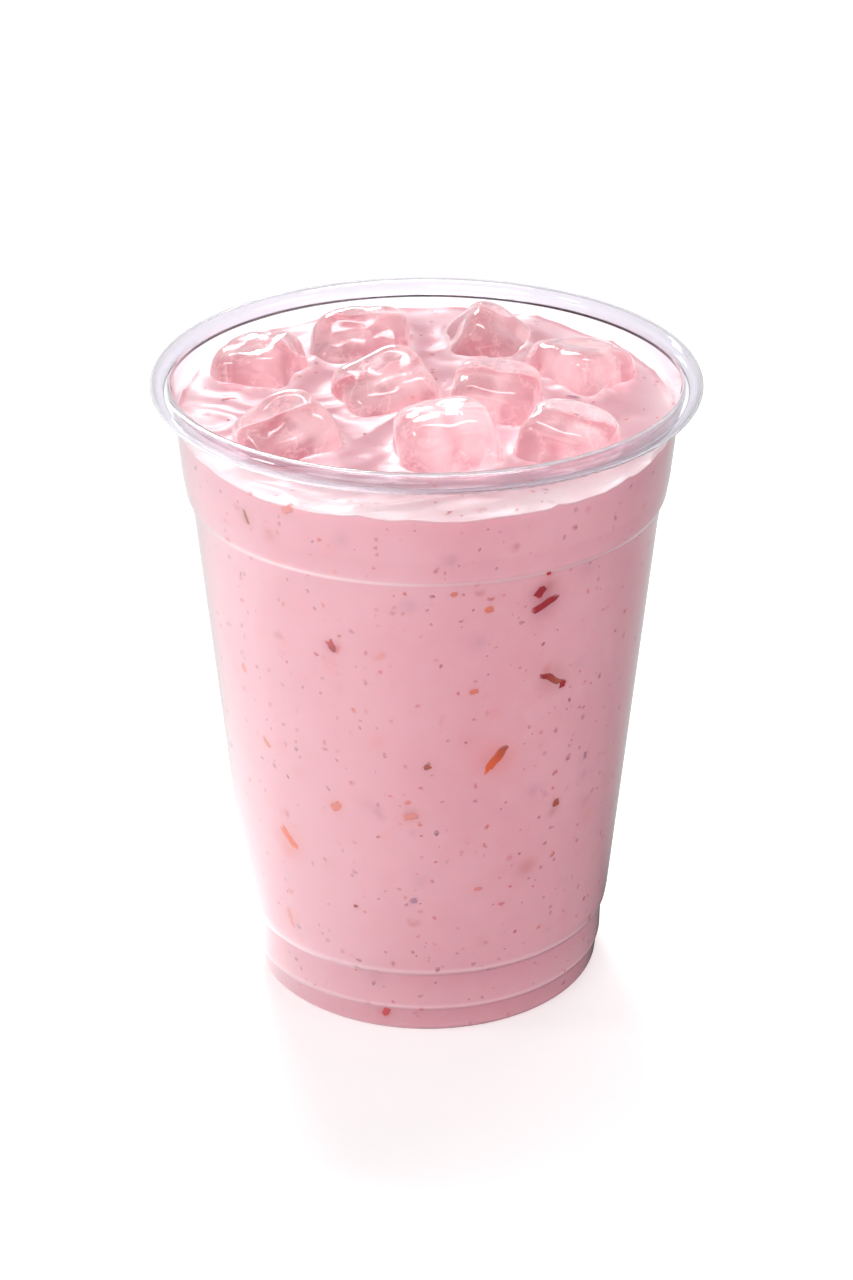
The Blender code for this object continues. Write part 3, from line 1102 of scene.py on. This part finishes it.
def addFilmAndSheen(found, piece, wall, iceTree):
    # partly thinner milk, partly painted highlight: a pale band along the wall, wider at the front, and round
    # the ice
    film = filmAndSheenLook
    least, more, close = film["uneven"]
    level = milkSizes["level"]
    brim = radiusAt(wall, level)
    for vert in piece.data.vertices:
        x, y, z = vert.co / mm
        radius = math.hypot(x, y)
        gap = brim - radius
        front = max(0.0, -y) / max(radius, 0.001)
        reach = film["reach"] + film["frontReach"] * front
        if z > level - film["depth"] and film["wall"] < gap < reach * 2 and vert.normal.z > film["flat"]:
            share = (film["share"] + film["frontShare"] * front) * math.exp(-(gap / reach) ** 2)
            share *= least + more * noise.noise(vert.co / mm * close)
            setFilmSheenAndShade(found, vert, film["colour"], share)
        elif z > level - film["iceDepth"] and vert.normal.z > film["iceFlat"]:
            gap = iceTree.find_nearest(vert.co)[3] / mm
            if gap < film["iceReach"] * 2:
                share = film["iceShare"] * math.exp(-(gap / film["iceReach"]) ** 2)
                setFilmSheenAndShade(found, vert, film["colour"], share)


def addHollowLightAndShade(found, piece, iceTree):
    # painted light and shade on the milk in the hollows, seen through the ice
    hollow = hollowLightAndShadeLook
    for vert in piece.data.vertices:
        if vert.co.z / mm < milkSizes["split"] or iceTree.find_nearest(vert.co)[3] > hollow["reach"] * mm:
            continue
        place = vert.co / mm * hollow["patches"]
        patch = hollow["bias"] + noise.noise(place) + noise.noise(place * hollow["finer"]) / 2
        share = min(1.0, abs(patch) * hollow["contrast"]) * hollow["share"]
        setFilmSheenAndShade(found, vert, hollow["pale"] if patch > 0 else hollow["paintedShade"], share)


def paintMilkStainsAndLight(piece, wall, iceTree):
    # found holds a colour times its share, and the share, for each vertex: fruit stains, the pale film and
    # painted light and shade
    found = {}
    addBlurs(found, piece, wall)
    addFilmAndSheen(found, piece, wall, iceTree)
    addHollowLightAndShade(found, piece, iceTree)
    stainLightAndShade = piece.data.color_attributes.new("stainLightAndShade", "FLOAT_COLOR", "POINT")
    stainLightAndShade.data.foreach_set("color", [0.0] * 4 * len(stainLightAndShade.data))
    for index, (colour, share) in found.items():
        stainLightAndShade.data[index].color = (*(colour / share), min(share, blurSizes["strongest"]))


def makeMilk():
    wall = milkWall()
    iceTree = joinedIceTree()
    top = cutIceHollows(shapeMilkTop(wall, iceTree))
    shape = joinParts(top, shapeMilkBody(wall))
    tree = BVHTree.FromBMesh(shape)
    milk = addPiece("milkFill", shape, makeMilkMaterial(), ["milk"],
                    milkSizes["sharpAngle"])
    print("milk poured")
    paintMilkStainsAndLight(milk, wall, iceTree)
    makeBits(wall, tree)


# stage

stageSizes = {
    "floor": 6.0,
    "floorColour": (0.93, 0.93, 0.93, 1),
    "floorRoughness": 0.6,
    "floorLift": 0.45,
    "floorBounce": 0.38,
    "floorLeft": (2.3, 1.0),  # how bright the panel on the left is beside the cup and behind it
    "leftTurn": (0.0, 0.8),  # between these it changes, from 0 beside the cup to 1 straight behind
    "floorRight": (0.14, 0.60),
    "rightTurn": (0.3, 0.9),
    "floorBlend": (-1.0, 0.45),  # from straight left towards the right, as seen from the cup
    "floorNear": (0.032, 0.040, 0.6),  # from and to this far out the panels fade in, from this share
    "floorShade": (0.034, 0.12, 0.25),  # the same for the light it throws on the drink
    "camera": (0, -0.548, 0.3335),
    "cameraPitch": 26.15,
    "clipStart": 0.01,
    "lens": 93.28,
    "film": 36.0,
    "lampAim": (0, 0, 0.06),
    "sky": 0.345,
    "skyShine": (0.32, 1.05),  # its dark and its bright side
    "skyTurn": (-0.2, 0.8),
    "skyWay": (-0.35, 0.80, 0.50),  # towards its bright side
}

lamps = {
    "keyLamp": {"at": (-0.40, -0.85, 0.70), "size": (0.9, 0.7), "power": 2.95},
    "fillLamp": {"at": (0.85, -0.35, 0.45), "size": (0.6, 0.5), "power": 0.6},
    "topLamp": {"at": (0.05, 0.30, 1.0), "size": (0.6, 0.15), "power": 2.5},
    "backGlint": {"at": (-0.20, 0.90, 0.60), "size": (0.35, 0.06), "power": 4.0},
    "leftGlint": {"at": (-0.75, -0.15, 0.75), "size": (0.15, 0.15), "power": 0.8},
}


def seenDirectly(nodes, links, path):
    # by the camera, also through the clear plastic
    return doMath(nodes, links, -300, 300, "MAXIMUM", path["Is Camera Ray"], path["Is Transmission Ray"])


def makeFloorMaterial():
    # plain and pale to the camera; for shine the left half is a bright panel, the right half a dark one
    s = stageSizes
    material, nodes, links = newMaterial("paleFloor")
    shader = placeNode(nodes, "ShaderNodeBsdfPrincipled", 0, 0)
    setInputs(shader, {"Base Color": s["floorColour"], "Roughness": s["floorRoughness"],
                       "Emission Color": (1, 1, 1, 1), "Emission Strength": s["floorLift"]})
    place = objectPlace(nodes, -1100, -300)
    away = vectorMath(nodes, links, -900, -300, "NORMALIZE", place)[0]
    way = splitParts(nodes, links, -750, -300, away)
    blend = mapValue(nodes, links, -600, -300, way["X"], s["floorBlend"], soft=True)
    left = mapValue(nodes, links, -600, -50, way["Y"], s["leftTurn"], s["floorLeft"])
    right = mapValue(nodes, links, -600, 200, way["Y"], s["rightTurn"], s["floorRight"])
    panel = mixFloats(nodes, links, -450, -150, blend, left, right)
    far = vectorMath(nodes, links, -800, -600, "LENGTH", place)["Value"]
    start, end, least = s["floorNear"]
    near = mapValue(nodes, links, -600, -600, far, (start, end), (least, 1.0), soft=True)
    shine = doMath(nodes, links, -400, -300, "MULTIPLY", panel, near)
    start, end, least = s["floorShade"]
    bounce = s["floorBounce"]
    thrown = mapValue(nodes, links, -600, -900, far, (start, end), (least * bounce, bounce), soft=True)
    path = placeNode(nodes, "ShaderNodeLightPath", -600, 400).outputs
    glow = placeNode(nodes, "ShaderNodeEmission", 0, -300)
    strength = mixFloats(nodes, links, -150, -300, path["Is Glossy Ray"], thrown, shine)
    links.new(strength, glow.inputs["Strength"])
    mix = placeNode(nodes, "ShaderNodeMixShader", 300, 0)
    links.new(seenDirectly(nodes, links, path), mix.inputs[0])
    links.new(glow.outputs[0], mix.inputs[1])
    links.new(shader.outputs[0], mix.inputs[2])
    showShader(nodes, links, mix)
    return material


def makeFloor():
    bm = bmesh.new()
    bmesh.ops.create_grid(bm, x_segments=1, y_segments=1, size=stageSizes["floor"] / 2)
    mesh = toMesh("floor", bm)
    mesh.materials.append(makeFloorMaterial())
    placeObject("floor", mesh)


def makeSky():
    # white to the camera and through the clear plastic, even for the drink, brighter on the left for shine
    s = stageSizes
    world = bpy.data.worlds.new("studio")
    bpy.context.scene.world = world
    world.use_nodes = True
    nodes, links = world.node_tree.nodes, world.node_tree.links
    nodes.clear()
    way = placeNode(nodes, "ShaderNodeTexCoord", -1000, 0).outputs["Generated"]
    side = vectorMath(nodes, links, -800, 0, "DOT_PRODUCT", way, s["skyWay"])["Value"]
    shine = mapValue(nodes, links, -600, 0, side, s["skyTurn"], s["skyShine"], soft=True)
    path = placeNode(nodes, "ShaderNodeLightPath", -600, 400).outputs
    thrown = mixFloats(nodes, links, -300, 0, path["Is Glossy Ray"], s["sky"], shine)
    strength = mixFloats(nodes, links, 0, 0, seenDirectly(nodes, links, path), thrown, 1.0)
    sky = placeNode(nodes, "ShaderNodeBackground", 200, 0)
    output = placeNode(nodes, "ShaderNodeOutputWorld", 400, 0)
    links.new(strength, sky.inputs["Strength"])
    links.new(sky.outputs[0], output.inputs["Surface"])


def addLamp(name, lamp):
    light = bpy.data.lights.new(name, "AREA")
    light.shape = "ELLIPSE"
    light.size, light.size_y = lamp["size"]
    light.energy = lamp["power"]
    thing = placeObject(name, light)
    thing.location = lamp["at"]
    aim = Vector(stageSizes["lampAim"]) - thing.location
    thing.rotation_euler = aim.to_track_quat("-Z", "Y").to_euler()


def makeCamera():
    s = stageSizes
    lens = bpy.data.cameras.new("camera")
    lens.sensor_fit = "VERTICAL"
    lens.sensor_height = s["film"]
    lens.lens = s["lens"]
    lens.clip_start = s["clipStart"]
    camera = placeObject("camera", lens)
    camera.location = s["camera"]
    camera.rotation_euler = (math.radians(90 - s["cameraPitch"]), 0, 0)
    bpy.context.scene.camera = camera


makeCamera()
makeFloor()
makeSky()
for name, lamp in lamps.items():
    addLamp(name, lamp)
bpy.context.scene.view_settings.view_transform = "Standard"
print("stage set")
makeCup()
print("cup turned")
makeIce()
print("ice set")
makeMilk()
